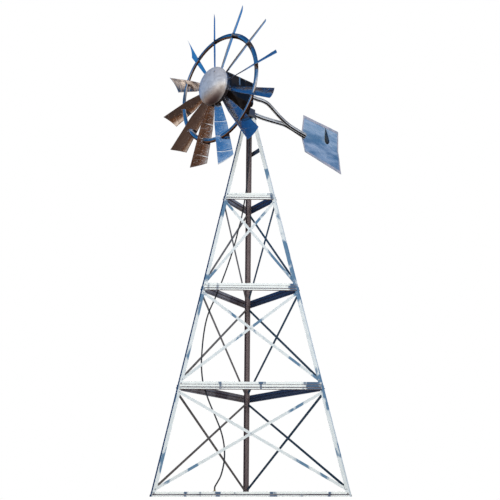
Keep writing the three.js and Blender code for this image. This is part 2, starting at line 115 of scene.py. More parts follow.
def newGroup(name, inputs, outputs):
    group = bpy.data.node_groups.new(name, "ShaderNodeTree")
    for label, kind, value in inputs:
        socket = group.interface.new_socket(label, in_out="INPUT", socket_type=kind)
        if value is not None:
            socket.default_value = value
    for label, kind in outputs:
        group.interface.new_socket(label, in_out="OUTPUT", socket_type=kind)
    return group, group.nodes.new("NodeGroupInput").outputs, group.nodes.new("NodeGroupOutput").inputs


def useGroup(tree, group, **values):
    return addNode(tree, "ShaderNodeGroup", values, node_tree=group)


def makeSpangleGroup():
    # zinc crystals: flat flakes of slightly different tone, broken up by a soft noise
    group, given, out = newGroup(
        "zincSpangle",
        [("Vector", "NodeSocketVector", None), ("Scale", "NodeSocketFloat", 60.0),
         ("Cloud", "NodeSocketFloat", 9.0)],
        [("Tone", "NodeSocketFloat")])
    flakes = addNode(group, "ShaderNodeTexVoronoi",
                     {"Vector": given["Vector"], "Scale": given["Scale"]})
    flakeTone = addNode(group, "ShaderNodeSeparateColor", {"Color": flakes.outputs["Color"]})
    cloud = addNode(group, "ShaderNodeTexNoise",
                    {"Vector": given["Vector"], "Scale": given["Cloud"], "Detail": 5.0})
    both = addNode(group, "ShaderNodeMix",
                   {"Factor": 0.55, "A": flakeTone.outputs["Red"], "B": cloud.outputs["Fac"]})
    group.links.new(both.outputs["Result"], out["Tone"])
    return group


def makePatchGroup():
    # large soft-edged areas, stretched by the mapping that feeds them
    group, given, out = newGroup(
        "softPatches",
        [("Vector", "NodeSocketVector", None), ("Size", "NodeSocketFloat", 2.0),
         ("Start", "NodeSocketFloat", 0.55), ("Full", "NodeSocketFloat", 0.65)],
        [("Mask", "NodeSocketFloat")])
    cloud = addNode(group, "ShaderNodeTexNoise",
                    {"Vector": given["Vector"], "Scale": given["Size"], "Detail": 3.0})
    edge = addNode(group, "ShaderNodeMapRange",
                   {"Value": cloud.outputs["Fac"], "From Min": given["Start"], "From Max": given["Full"]},
                   interpolation_type="SMOOTHSTEP")
    group.links.new(edge.outputs["Result"], out["Mask"])
    return group


def makeScratchGroup():
    # fine lines along the stretched direction, as rolling and rubbing leave
    group, given, out = newGroup(
        "rubbedLines",
        [("Vector", "NodeSocketVector", None), ("Scale", "NodeSocketFloat", 40.0)],
        [("Mask", "NodeSocketFloat")])
    lines = addNode(group, "ShaderNodeTexNoise",
                    {"Vector": given["Vector"], "Scale": given["Scale"], "Detail": 6.0, "Roughness": 0.7})
    edge = addNode(group, "ShaderNodeMapRange",
                   {"Value": lines.outputs["Fac"], "From Min": 0.35, "From Max": 0.7},
                   interpolation_type="SMOOTHSTEP")
    group.links.new(edge.outputs["Result"], out["Mask"])
    return group


spangle = makeSpangleGroup()
patches = makePatchGroup()
scratches = makeScratchGroup()


def newMaterial(name):
    material = bpy.data.materials.new(name)
    material.use_nodes = True
    tree = material.node_tree
    shader = tree.nodes["Principled BSDF"]
    return material, tree, shader


def mixColour(tree, factor, first, second):
    made = addNode(tree, "ShaderNodeMix", {"Factor": factor, "A": first, "B": second}, data_type="RGBA")
    return made.outputs["Result"]


def mixNumber(tree, factor, first, second):
    return addNode(tree, "ShaderNodeMix", {"Factor": factor, "A": first, "B": second}).outputs["Result"]


# sheet metal: one recipe, a dictionary for each finish

# leg steel: patch is painted sky reflection in dark blue patches; sides is painted shade and reflection, navy on
# faces turned left and down
legLook = {
    "bright": (0.78, 0.82, 0.80, 1), "dull": (0.62, 0.67, 0.66, 1), "patch": (0.04, 0.15, 0.27, 1),
    "metallic": 0.3, "smooth": 0.28, "rough": 0.5, "spangle": 30.0, "stretch": (1, 1, 0.6),
    "patchSize": 4.6, "patchStart": 0.56, "patchFull": 0.615, "patchDepth": 0.88,
    "ripple": 0.12, "rippleScale": 14.0,
    "sides": [((-0.94, 0.0, -0.34), 0.55, 0.70, (0.010, 0.035, 0.095, 1))]}
# painted shade for the back leg: faces turned to the front are painted darker grey-brown, faces turned right and
# down near black
shadedBackLegLook = dict(legLook, sides=[
    ((0, -1, 0), 0.25, 0.40, (0.27, 0.23, 0.24, 1)),
    ((0.94, 0.0, -0.34), 0.55, 0.70, (0.045, 0.035, 0.05, 1))])
# painted shade for the side braces: faces turned to the front are painted darker, faces turned left and down get a
# painted navy reflection
shadedBraceLook = dict(legLook, sides=[
    ((0, -1, 0), 0.25, 0.40, (0.19, 0.18, 0.18, 1)),
    ((-0.94, 0.0, -0.34), 0.55, 0.70, (0.03, 0.08, 0.14, 1))])
# girt steel: patch is painted sky reflection in dark blue patches
girtLook = {
    "bright": (0.84, 0.88, 0.85, 1), "dull": (0.74, 0.79, 0.76, 1), "patch": (0.01, 0.065, 0.15, 1),
    "metallic": 0.22, "smooth": 0.26, "rough": 0.45, "spangle": 22.0, "stretch": (1, 1, 0.2),
    "patchSize": 7.5, "patchStart": 0.545, "patchFull": 0.62, "patchDepth": 0.92,
    "ripple": 0.1, "rippleScale": 12.0}
# painted shade: a darker copy of the girt steel for the inner side of the girts and the bands at their bends;
# sides adds a painted navy reflection on faces turned left and down
shadeLook = {
    "bright": (0.42, 0.38, 0.38, 1), "dull": (0.22, 0.20, 0.21, 1), "patch": (0.07, 0.04, 0.055, 1),
    "metallic": 0.6, "smooth": 0.3, "rough": 0.5, "spangle": 30.0, "stretch": (1, 1, 0.3),
    "patchSize": 2.4, "patchStart": 0.50, "patchFull": 0.62, "patchDepth": 0.7,
    "ripple": 0.12, "rippleScale": 12.0,
    "sides": [((-0.94, 0.0, -0.34), 0.55, 0.70, (0.05, 0.09, 0.18, 1))]}
# tail arm steel: sides is painted shade, near black on faces turned down
armLook = {
    "bright": (0.74, 0.75, 0.74, 1), "dull": (0.52, 0.53, 0.53, 1), "patch": (0.25, 0.24, 0.24, 1),
    "metallic": 0.4, "smooth": 0.26, "rough": 0.45, "spangle": 30.0, "stretch": (0.4, 0.4, 1.4),
    "patchSize": 9.0, "patchStart": 0.5, "patchFull": 0.62, "patchDepth": 0.6,
    "ripple": 0.1, "rippleScale": 12.0,
    "sides": [((0.0, 0.0, -1.0), 0.55, 0.70, (0.012, 0.012, 0.014, 1))]}
hemLook = {
    "bright": (0.50, 0.47, 0.52, 1), "dull": (0.34, 0.35, 0.42, 1), "patch": (0.20, 0.28, 0.38, 1),
    "metallic": 0.25, "smooth": 0.3, "rough": 0.5, "spangle": 10.0, "stretch": (1, 1, 1), "patchSize": 9.0,
    "patchStart": 0.5, "patchFull": 0.6, "patchDepth": 0.6, "ripple": 0.1, "rippleScale": 12.0}
bladeLook = {
    "bright": (0.76, 0.78, 0.80, 1), "dull": (0.52, 0.53, 0.55, 1), "patch": (0.30, 0.22, 0.17, 1),
    "metallic": 1.0, "smooth": 0.12, "rough": 0.30, "spangle": 46.0, "stretch": (1, 1, 1), "patchSize": 2.4,
    "patchStart": 0.52, "patchFull": 0.75, "patchDepth": 0.45, "ripple": 0.35, "rippleScale": 5.0}
# hoop: sides is a painted reflection of the brown ground on faces turned down
hoopLook = dict(bladeLook, bright=(0.66, 0.66, 0.68, 1), dull=(0.42, 0.38, 0.36, 1),
                patch=(0.20, 0.11, 0.07, 1), patchStart=0.48, patchFull=0.60, patchDepth=0.75,
                sides=[((0, 0, -1), 0.10, 0.45, (0.16, 0.10, 0.075, 1))])
# vane sheet: its blue dull and patch tones are painted sky reflection
vaneLook = {
    "bright": (0.76, 0.80, 0.82, 1), "dull": (0.24, 0.39, 0.50, 1), "patch": (0.10, 0.24, 0.36, 1),
    "metallic": 0.65, "smooth": 0.24, "rough": 0.42, "spangle": 12.0, "stretch": (0.5, 0.5, 1.9),
    "patchSize": 5.0, "patchStart": 0.40, "patchFull": 0.60, "patchDepth": 0.8,
    "ripple": 0.35, "rippleScale": 7.0}
boltLook = {
    "bright": (0.80, 0.82, 0.83, 1), "dull": (0.45, 0.46, 0.46, 1), "patch": (0.22, 0.15, 0.10, 1),
    "metallic": 0.95, "smooth": 0.22, "rough": 0.45, "spangle": 160.0, "stretch": (1, 1, 1),
    "patchSize": 30.0, "patchStart": 0.6, "patchFull": 0.75, "patchDepth": 0.6,
    "ripple": 0.1, "rippleScale": 60.0}


def paintShadeAndReflection(tree, colour, look):
    # painted shade and painted reflection: faces turned a given way get a darker or tinted colour, standing in for
    # shade and for the sky or ground they would mirror
    facing = addNode(tree, "ShaderNodeNewGeometry").outputs["Normal"]
    for direction, start, full, tint in look.get("sides", ()):
        away = addNode(tree, "ShaderNodeVectorMath", {0: facing, 1: direction}, operation="DOT_PRODUCT")
        side = addNode(tree, "ShaderNodeMapRange",
                       {"Value": away.outputs["Value"], "From Min": start, "From Max": full},
                       interpolation_type="SMOOTHSTEP")
        colour = mixColour(tree, side.outputs["Result"], colour, tint)
    return colour


def sheetMetal(name, look):
    material, tree, shader = newMaterial(name)
    spot = addNode(tree, "ShaderNodeTexCoord").outputs["Object"]
    drawn = addNode(tree, "ShaderNodeMapping", {"Vector": spot, "Scale": look["stretch"]}).outputs["Vector"]
    tone = useGroup(tree, spangle, Vector=drawn, Scale=look["spangle"]).outputs["Tone"]
    # patches: a stain on bolts and blades, painted sky reflection on the legs, girts and vane
    patch = useGroup(tree, patches, Vector=drawn, Size=look["patchSize"], Start=look["patchStart"],
                     Full=look["patchFull"]).outputs["Mask"]
    rub = useGroup(tree, scratches, Vector=drawn, Scale=look["spangle"] * 0.8).outputs["Mask"]
    patchAmount = addNode(tree, "ShaderNodeMath", {0: patch, 1: look["patchDepth"]}, operation="MULTIPLY")
    zinc = mixColour(tree, tone, look["dull"], look["bright"])
    colour = mixColour(tree, patchAmount.outputs["Value"], zinc, look["patch"])
    # painted shade and painted reflection on faces turned the ways the look lists
    colour = paintShadeAndReflection(tree, colour, look)
    toneAndRub = addNode(tree, "ShaderNodeMath", {0: tone, 1: rub}, operation="MULTIPLY").outputs["Value"]
    roughness = mixNumber(tree, toneAndRub, look["smooth"], look["rough"])
    ripple = addNode(tree, "ShaderNodeTexNoise",
                     {"Vector": spot, "Scale": look["rippleScale"], "Detail": 1.0})
    heights = addNode(tree, "ShaderNodeMath", {0: ripple.outputs["Fac"], 1: 6.0, 2: tone},
                      operation="MULTIPLY_ADD")
    bump = addNode(tree, "ShaderNodeBump",
                   {"Strength": look["ripple"], "Distance": 0.004, "Height": heights.outputs["Value"]})
    tree.links.new(colour, shader.inputs["Base Color"])
    tree.links.new(roughness, shader.inputs["Roughness"])
    tree.links.new(bump.outputs["Normal"], shader.inputs["Normal"])
    shader.inputs["Metallic"].default_value = look["metallic"]
    return material


# spun cap: sides paints a dark brown reflection of the ground on faces turned down, front and left, and a blue sky
# reflection on faces turned left
capLook = {
    "bright": (0.90, 0.88, 0.85, 1), "dull": (0.52, 0.48, 0.45, 1), "metallic": 0.62,
    "smooth": 0.28, "rough": 0.44, "ringSize": 160.0, "ringDepth": 0.12,
    "sides": [((-0.33, -0.45, -0.83), 0.62, 1.02, (0.13, 0.085, 0.085, 1)),
              ((-0.93, 0.34, 0.10), 0.70, 0.95, (0.08, 0.22, 0.42, 1))]}


def spunMetal(name, look):
    # rings left by the spinning lathe, round the axle
    material, tree, shader = newMaterial(name)
    spot = addNode(tree, "ShaderNodeTexCoord").outputs["Object"]
    local = addNode(tree, "ShaderNodeMapping",
                    {"Vector": spot, "Location": wheelCentre, "Rotation": (0, 0, headYaw)},
                    vector_type="TEXTURE")
    axes = addNode(tree, "ShaderNodeSeparateXYZ", {"Vector": local.outputs["Vector"]})
    flat = addNode(tree, "ShaderNodeCombineXYZ", {"Y": axes.outputs["Y"], "Z": axes.outputs["Z"]})
    reach = addNode(tree, "ShaderNodeVectorMath", {0: flat.outputs["Vector"]}, operation="LENGTH")
    rings = addNode(tree, "ShaderNodeTexNoise",
                    {"W": reach.outputs["Value"], "Scale": look["ringSize"], "Detail": 3.0},
                    noise_dimensions="1D")
    tone = useGroup(tree, spangle, Vector=spot, Scale=34.0, Cloud=7.0).outputs["Tone"]
    colour = paintShadeAndReflection(tree, mixColour(tree, tone, look["dull"], look["bright"]), look)
    roughness = mixNumber(tree, tone, look["smooth"], look["rough"])
    heights = addNode(tree, "ShaderNodeMath", {0: tone, 1: 0.5, 2: rings.outputs["Fac"]},
                      operation="MULTIPLY_ADD")
    bump = addNode(tree, "ShaderNodeBump",
                   {"Strength": look["ringDepth"], "Distance": 0.003, "Height": heights.outputs["Value"]})
    tree.links.new(colour, shader.inputs["Base Color"])
    tree.links.new(roughness, shader.inputs["Roughness"])
    tree.links.new(bump.outputs["Normal"], shader.inputs["Normal"])
    shader.inputs["Metallic"].default_value = look["metallic"]
    return material


paintLook = {"fresh": (0.004, 0.0035, 0.004, 1), "dusty": (0.018, 0.015, 0.014, 1), "metallic": 0.0,
             "smooth": 0.34, "rough": 0.6, "grain": 240.0, "grainDepth": 0.12, "gloss": 0.22}
mastLook = {"fresh": (0.10, 0.10, 0.11, 1), "dusty": (0.20, 0.18, 0.17, 1), "metallic": 0.7,
            "smooth": 0.32, "rough": 0.6, "grain": 180.0, "grainDepth": 0.2}
hoseLook = {"fresh": (0.012, 0.013, 0.014, 1), "dusty": (0.035, 0.034, 0.033, 1), "metallic": 0.0,
            "smooth": 0.38, "rough": 0.62, "grain": 300.0, "grainDepth": 0.1}
brassLook = {"fresh": (0.58, 0.42, 0.18, 1), "dusty": (0.32, 0.24, 0.13, 1), "metallic": 1.0,
             "smooth": 0.24, "rough": 0.45, "grain": 200.0, "grainDepth": 0.08}
emblemLook = {"fresh": (0.012, 0.022, 0.034, 1), "dusty": (0.03, 0.04, 0.05, 1), "metallic": 0.0,
              "smooth": 0.3, "rough": 0.5, "grain": 150.0, "grainDepth": 0.05}


def coated(name, look):
    material, tree, shader = newMaterial(name)
    spot = addNode(tree, "ShaderNodeTexCoord").outputs["Object"]
    dust = useGroup(tree, patches, Vector=spot, Size=9.0, Start=0.42, Full=0.68).outputs["Mask"]
    grain = addNode(tree, "ShaderNodeTexNoise", {"Vector": spot, "Scale": look["grain"], "Detail": 2.0})
    bump = addNode(tree, "ShaderNodeBump",
                   {"Strength": look["grainDepth"], "Distance": 0.001, "Height": grain.outputs["Fac"]})
    tree.links.new(mixColour(tree, dust, look["fresh"], look["dusty"]), shader.inputs["Base Color"])
    tree.links.new(mixNumber(tree, dust, look["smooth"], look["rough"]), shader.inputs["Roughness"])
    tree.links.new(bump.outputs["Normal"], shader.inputs["Normal"])
    shader.inputs["Metallic"].default_value = look["metallic"]
    shader.inputs["Specular IOR Level"].default_value = look.get("gloss", 0.5)
    return material


finishes = {
    "leg_steel": sheetMetal("galvanisedLeg", legLook),
    "girt_steel": sheetMetal("galvanisedGirt", girtLook),
    "blade_sheet": sheetMetal("brightBlade", bladeLook),
    "vane_sheet": sheetMetal("vaneSheet", vaneLook),
    "vane_hem": sheetMetal("vaneHem", hemLook),
    "hoop_sheet": sheetMetal("hoopSheet", hoopLook),
    "shaded_back_leg": sheetMetal("shadedBackLeg", shadedBackLegLook),
    "shaded_brace": sheetMetal("shadedBrace", shadedBraceLook),
    "arm_steel": sheetMetal("armSteel", armLook),
    "shaded_steel": sheetMetal("shadedSteel", shadeLook),
    "bolt_zinc": sheetMetal("zincBolt", boltLook),
    "spun_cap": spunMetal("spunCap", capLook),
    "black_paint": coated("blackPaint", paintLook),
    "dark_steel": coated("mastSteel", mastLook),
    "hose_rubber": coated("hoseRubber", hoseLook),
    "fitting_brass": coated("fittingBrass", brassLook),
    "emblem_paint": coated("emblemPaint", emblemLook)}
print("materials made:", len(finishes))


# making pieces

def finishPiece(bm, name, body, finish, stands=(), space=None, smooth=True, facing=None):
    if space is not None:
        bmesh.ops.transform(bm, matrix=space, verts=bm.verts)
    bmesh.ops.recalc_face_normals(bm, faces=bm.faces)
    if facing is not None and sum(face.normal.dot(facing) * face.calc_area() for face in bm.faces) < 0:
        bmesh.ops.reverse_faces(bm, faces=bm.faces)
    mesh = bpy.data.meshes.new(name)
    bm.to_mesh(mesh)
    bm.free()
    for face in mesh.polygons:
        face.use_smooth = smooth
    mesh.materials.append(finishes[finish])
    piece = bpy.data.objects.new(name, mesh)
    scene.collection.objects.link(piece)
    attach(piece, body)
    if stands:
        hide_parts(*stands)
    return piece


def thicken(piece, thickness, offset=0.0, bevel=0.0):
    wall = piece.modifiers.new("wall", "SOLIDIFY")
    wall.thickness = thickness
    wall.offset = offset
    if bevel:
        edge = piece.modifiers.new("edge", "BEVEL")
        edge.width = bevel
        edge.segments = 2
        edge.limit_method = "ANGLE"
    return piece


def smoothLine(points, steps):
    # evenly numbered samples of a curve through all the points
    ends = [points[0] * 2 - points[1], *points, points[-1] * 2 - points[-2]]
    made = []
    for span in range(len(points) - 1):
        a, b, c, d = ends[span:span + 4]
        for step in range(steps):
            t = step / steps
            made.append(0.5 * (2 * b + (c - a) * t + (2 * a - 5 * b + 4 * c - d) * t * t
                               + (3 * b - 3 * c + d - a) * t * t * t))
    made.append(points[-1])
    return made


def addBlock(bm, matrix, edge, segments):
    # a box with its edges rounded over
    made = bmesh.ops.create_cube(bm, size=1, matrix=matrix)
    rim = list({side for vert in made["verts"] for side in vert.link_edges})
    bmesh.ops.bevel(bm, geom=rim, offset=edge, segments=segments, profile=0.5, material=-1, affect="EDGES")


def drawLine(bm, points, closed=False):
    verts = [bm.verts.new(point) for point in points]
    pairs = list(zip(verts, verts[1:] + ([verts[0]] if closed else [])))
    return [bm.edges.new(pair) for pair in pairs]


def spinRound(bm, steps):
    bmesh.ops.spin(bm, geom=bm.verts[:] + bm.edges[:], cent=(0, 0, 0), axis=(1, 0, 0), angle=2 * math.pi,
                   steps=steps, use_merge=True)
    bmesh.ops.remove_doubles(bm, verts=bm.verts, dist=0.00002)


def growRow(bm, edges):
    # a fresh row of faces beyond these edges: its far points and far edges
    grown = bmesh.ops.extrude_edge_only(bm, edges=edges)["geom"]
    fresh = {item for item in grown if isinstance(item, bmesh.types.BMVert)}
    return list(fresh), [item for item in grown if isinstance(item, bmesh.types.BMEdge)
                         and all(vert in fresh for vert in item.verts)]


def turnTo(direction):
    return Vector((0, 0, 1)).rotation_difference(Vector(direction)).to_matrix().to_4x4()


def addBolt(bm, place, facing, size=0.010, washer=True):
    # hexagon head on a washer, standing along the facing direction
    stand = Matrix.Translation(place) @ turnTo(facing)
    if washer:
        bmesh.ops.create_cone(bm, cap_ends=True, segments=16, radius1=size, radius2=size * 0.96,
                              depth=size * 0.24, matrix=stand @ Matrix.Translation((0, 0, size * 0.12)))
    head = bmesh.ops.create_cone(bm, cap_ends=True, segments=6, radius1=size * 0.74, radius2=size * 0.74,
                                 depth=size * 0.55, matrix=stand @ Matrix.Translation((0, 0, size * 0.5)))
    rim = [edge for vert in head["verts"] for edge in vert.link_edges]
    bmesh.ops.bevel(bm, geom=list(set(rim)), offset=size * 0.08, segments=1, profile=0.5, material=-1,
                    affect="EDGES", offset_type="OFFSET", clamp_overlap=True)


def addRivet(bm, place, facing, size=0.005):
    stand = Matrix.Translation(place) @ turnTo(facing) @ Matrix.Diagonal((1, 1, 0.55, 1))
    bmesh.ops.create_icosphere(bm, subdivisions=2, radius=size, matrix=stand)


# air hose

hose = {
    "radius": 0.0075, "stepsPerSpan": 6,
    "route": [  # millimetres from the mast's foot
        (0, 0, 3994), (0, 0, 3900), (-6, 2, 3700), (-20, 5, 3480), (-40, 6, 3290),
        (-64, 3, 3140), (-90, -8, 2990), (-122, -24, 2860), (-158, -52, 2700), (-224, -97, 2467),
        (-298, -147, 2241), (-337, -173, 2135), (-376, -199, 2025), (-430, -228, 1893), (-466, -257, 1758),
        (-490, -288, 1583), (-502, -320, 1389), (-501, -341, 1273), (-486, -363, 1136), (-459, -382, 1043),
        (-421, -403, 930), (-361, -430, 790), (-304, -456, 649), (-273, -478, 535), (-260, -497, 423),
        (-266, -512, 317), (-292, -526, 205), (-325, -534, 138), (-349, -537, 98), (-353, -537, 78),
        (-353, -537, 64)]}


def makeHose():
    route = [mastAxis + Vector(point) / 1000 for point in hose["route"]]
    line = smoothLine(route, hose["stepsPerSpan"])
    data = bpy.data.curves.new("airHose", "CURVE")
    data.dimensions = "3D"
    data.bevel_depth = hose["radius"]
    data.bevel_resolution = 5
    data.use_fill_caps = True
    spline = data.splines.new("POLY")
    spline.points.add(len(line) - 1)
    for place, point in zip(line, spline.points):
        point.co = (*place, 1)
    data.materials.append(finishes["hose_rubber"])
    piece = bpy.data.objects.new("airHose", data)
    scene.collection.objects.link(piece)
    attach(piece, "tower")
    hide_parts("air_hose")


# wheel

blade = {
    "count": 12, "first": -7.0, "rootPitch": 52.0, "tipPitch": 39.0, "root": 0.1963, "tip": 0.939,
    "cut": 0.098, "cutStart": 0.809, "rootWidth": 0.070, "shoulder": 0.450, "shoulderWidth": 0.142,
    "tipWidth": 0.188, "camber": 0.085, "lead": 0.074, "sheet": 0.0016, "creases": (0.422, 0.594, 0.779),
    "creaseHeight": 0.0013, "creaseWidth": 0.0055, "creaseClear": 0.016, "rows": 26, "across": 14,
    "dent": 0.0022}


def bladeWidth(reach):
    if reach < blade["shoulder"]:
        share = (reach - blade["root"]) / (blade["shoulder"] - blade["root"])
        return blade["rootWidth"] + share * (blade["shoulderWidth"] - blade["rootWidth"])
    share = (reach - blade["shoulder"]) / (blade["tip"] - blade["shoulder"])
    return blade["shoulderWidth"] + share * (blade["tipWidth"] - blade["shoulderWidth"])


def bladeStations():
    # even rows, closer together across each crease
    rows, creases = blade["rows"], blade["creases"]
    plain = [blade["root"] + (blade["tip"] - blade["root"]) * i / rows for i in range(rows + 1)]
    fine = [crease + step * blade["creaseWidth"] * 0.5 for crease in creases for step in range(-5, 6)]
    far = [reach for reach in plain if all(abs(reach - crease) > blade["creaseClear"] for crease in creases)]
    return sorted(far + fine)


def bladePitch(reach):
    share = (reach - blade["root"]) / (blade["tip"] - blade["root"])
    return math.radians(blade["rootPitch"] + share * (blade["tipPitch"] - blade["rootPitch"]))


def bladePoint(across, reach, seed=0.0, lift=0.0):
    # a point of the blade that stands straight up, in the wheel's space; across runs from -1 to 1
    pitch = bladePitch(reach)
    width = bladeWidth(reach)
    out = blade["camber"] * width * (across * across - 0.5) + lift
    for crease in blade["creases"]:
        out += blade["creaseHeight"] * math.exp(-((reach - crease) / blade["creaseWidth"]) ** 2)
    out += blade["dent"] * noise.noise(Vector((across * 0.6, reach * 4.5, seed * 3.1)))
    along = across * width / 2
    forward = blade["lead"] * (1 - reach / blade["tip"])
    return Vector((forward + math.sin(pitch) * along + math.cos(pitch) * out,
                   math.cos(pitch) * along - math.sin(pitch) * out, reach))


def bladeFacing(reach):
    # square to the blade's front, for the blade that stands straight up
    pitch = bladePitch(reach)
    return Vector((math.cos(pitch), -math.sin(pitch), 0))


def bladeReach(across, station):
    # the tip is cut on the slant, and the stations close up towards it
    if station < blade["cutStart"]:
        return station
    share = (station - blade["cutStart"]) / (blade["tip"] - blade["cutStart"])
    return station - share * blade["cut"] * (1 - across) / 2


def bladeTurn(index):
    return Matrix.Rotation(-math.radians(blade["first"] + 360 / blade["count"] * index), 4, "X")


def makeBlades():
    stations = bladeStations()
    for index in range(blade["count"]):
        bm = bmesh.new()
        bmesh.ops.create_grid(bm, x_segments=blade["across"], y_segments=len(stations) - 1, size=1)
        for vert in bm.verts:
            row = round((vert.co.y + 1) / 2 * (len(stations) - 1))
            vert.co = bladePoint(vert.co.x, bladeReach(vert.co.x, stations[row]), seed=index)
        number = f"{index + 1:02d}"
        piece = finishPiece(bm, f"windBlade_{number}", "wheel", "blade_sheet", stands=[f"blade_{number}"],
                            space=wheelSpace @ bladeTurn(index))
        thicken(piece, blade["sheet"], bevel=0.0005)
    print("blades made:", blade["count"])


hoop = {
    "radius": 0.603, "width": 0.058, "sheet": 0.0024, "crown": 0.040, "arc": 58, "arcSteps": 14, "steps": 192,
    "clips": ((-0.10, 0.588), (0.30, 0.622)), "clipSize": (0.004, 0.020, 0.028), "clipLift": 0.003,
    "rivetRises": (0.007, -0.007)}


def makeHoop():
    # half-round band, rounded side to the front
    arc = math.radians(hoop["arc"])
    bend = hoop["width"] / 2 / math.sin(arc)
    bm = bmesh.new()
    section = []
    for i in range(hoop["arcSteps"] + 1):
        turn = arc * (2 * i / hoop["arcSteps"] - 1)
        section.append((hoop["crown"] - bend + bend * math.cos(turn), 0,
                        hoop["radius"] + bend * math.sin(turn)))
    drawLine(bm, section)
    spinRound(bm, hoop["steps"])
    piece = finishPiece(bm, "wheelHoop", "wheel", "hoop_sheet", stands=["wheel_ring"],
                        space=wheelSpace)
    thicken(piece, hoop["sheet"], bevel=0.0006)


def makeHoopClips():
    # small angle clips with two rivets that tie the hoop to each blade
    bm = bmesh.new()
    rivets = bmesh.new()
    for index in range(blade["count"]):
        turn = bladeTurn(index)
        for across, reach in hoop["clips"]:
            place = bladePoint(across, reach, seed=index, lift=hoop["clipLift"])
            addBlock(bm, turn @ Matrix.Translation(place) @ Matrix.Rotation(-bladePitch(reach), 4, "Z")
                     @ Matrix.Diagonal((*hoop["clipSize"], 1)), 0.0008, 1)
            facing = bladeFacing(reach)
            for rise in hoop["rivetRises"]:
                lifted = place + facing * hoop["clipLift"] + Vector((0, 0, rise))
                addRivet(rivets, turn @ lifted, turn @ facing)
    finishPiece(bm, "hoopClips", "wheel", "blade_sheet", space=wheelSpace, smooth=False)
    finishPiece(rivets, "hoopRivets", "wheel", "bolt_zinc", space=wheelSpace)


bowl = {
    "radius": 0.218, "height": 0.104, "brim": 0.012, "rear": 0.0903, "sheet": 0.003, "steps": 128, "rows": 24,
    "bolts": 3, "firstBolt": 40, "boltReach": 0.150}


def makeBowl():
    bm = bmesh.new()
    section = []
    for i in range(bowl["rows"] + 1):
        angle = math.pi / 2 * i / bowl["rows"]
        section.append((bowl["rear"] + bowl["brim"] + bowl["height"] * math.cos(angle), 0,
                        bowl["radius"] * math.sin(angle)))
    section.append((bowl["rear"] + 0.004, 0, bowl["radius"]))
    section.append((bowl["rear"], 0, bowl["radius"] - 0.002))
    section.append((bowl["rear"], 0, bowl["radius"] - 0.012))
    drawLine(bm, section)
    spinRound(bm, bowl["steps"])
    piece = finishPiece(bm, "spunBowl", "wheel", "spun_cap", stands=["hub_cap"], space=wheelSpace)
    thicken(piece, bowl["sheet"], offset=-1.0)
    bm = bmesh.new()
    reach = bowl["boltReach"]
    rise = bowl["height"] * math.sqrt(1 - (reach / bowl["radius"]) ** 2)
    for turn in range(bowl["bolts"]):
        angle = math.radians(bowl["firstBolt"] + 360 / bowl["bolts"] * turn)
        place = Vector((bowl["rear"] + bowl["brim"] + rise, reach * math.sin(angle), reach * math.cos(angle)))
        slope = Vector((1 / bowl["height"] ** 2 * rise, place.y / bowl["radius"] ** 2,
                        place.z / bowl["radius"] ** 2))
        addBolt(bm, place, slope.normalized(), 0.009)
    finishPiece(bm, "bowlBolts", "wheel", "bolt_zinc", space=wheelSpace, smooth=False)


drum = {
    "radius": 0.196, "rear": 0.030, "front": 0.102, "round": 0.006, "axle": 0.020, "axleRear": -0.122,
    "boss": 0.040, "bossDepth": 0.030, "steps": 96, "rearBolts": 0.160, "bladeBolts": (0.214, 0.244)}


def makeDrum():
    bm = bmesh.new()
    bossRear = drum["rear"] - drum["bossDepth"]
    section = [(drum["axleRear"], 0, 0), (drum["axleRear"], 0, drum["axle"]), (bossRear, 0, drum["axle"]),
               (bossRear, 0, drum["boss"]), (drum["rear"] - 0.004, 0, drum["boss"] + 0.004),
               (drum["rear"], 0, drum["boss"] + 0.020), (drum["rear"], 0, drum["radius"] - drum["round"]),
               (drum["rear"] + drum["round"], 0, drum["radius"]),
               (drum["front"] - drum["round"], 0, drum["radius"]),
               (drum["front"], 0, drum["radius"] - drum["round"]), (drum["front"], 0, 0)]
    drawLine(bm, section)
    spinRound(bm, drum["steps"])
    finishPiece(bm, "hubDrum", "wheel", "dark_steel", stands=["hub"], space=wheelSpace, smooth=False)
    bm = bmesh.new()
    for index in range(blade["count"]):
        turn = bladeTurn(index)
        addBolt(bm, turn @ Vector((drum["rear"], 0, drum["rearBolts"])), turn @ Vector((-1, 0, 0)), 0.011)
        for reach in drum["bladeBolts"]:
            place = bladePoint(0, reach, seed=index, lift=0.001)
            facing = bladeFacing(reach)
            addBolt(bm, turn @ place, turn @ facing, 0.008)
            addBolt(bm, turn @ (place - facing * 0.003), turn @ -facing, 0.008, washer=False)
    finishPiece(bm, "hubBolts", "wheel", "bolt_zinc", space=wheelSpace, smooth=False)


# head and tail

housing = {
    "halfWidth": 0.100, "rear": 0.030, "front": 0.426, "top": 0.396, "noseBottom": 0.196, "bottom": 0.032,
    "bottomFront": 0.150, "chamferTop": 0.138, "bottomHalf": 0.040, "blockFront": 0.0483, "blockTop": 0.1103,
    "strapAt": 0.253, "strapWidth": 0.022, "strapDrop": 0.100,
    "lidBolts": (0.050, 0.160, 0.346, 0.406),
    "sideBolts": ((0.060, 0.160), (0.060, 0.270), (0.300, 0.215), (0.400, 0.230), (0.400, 0.330))}


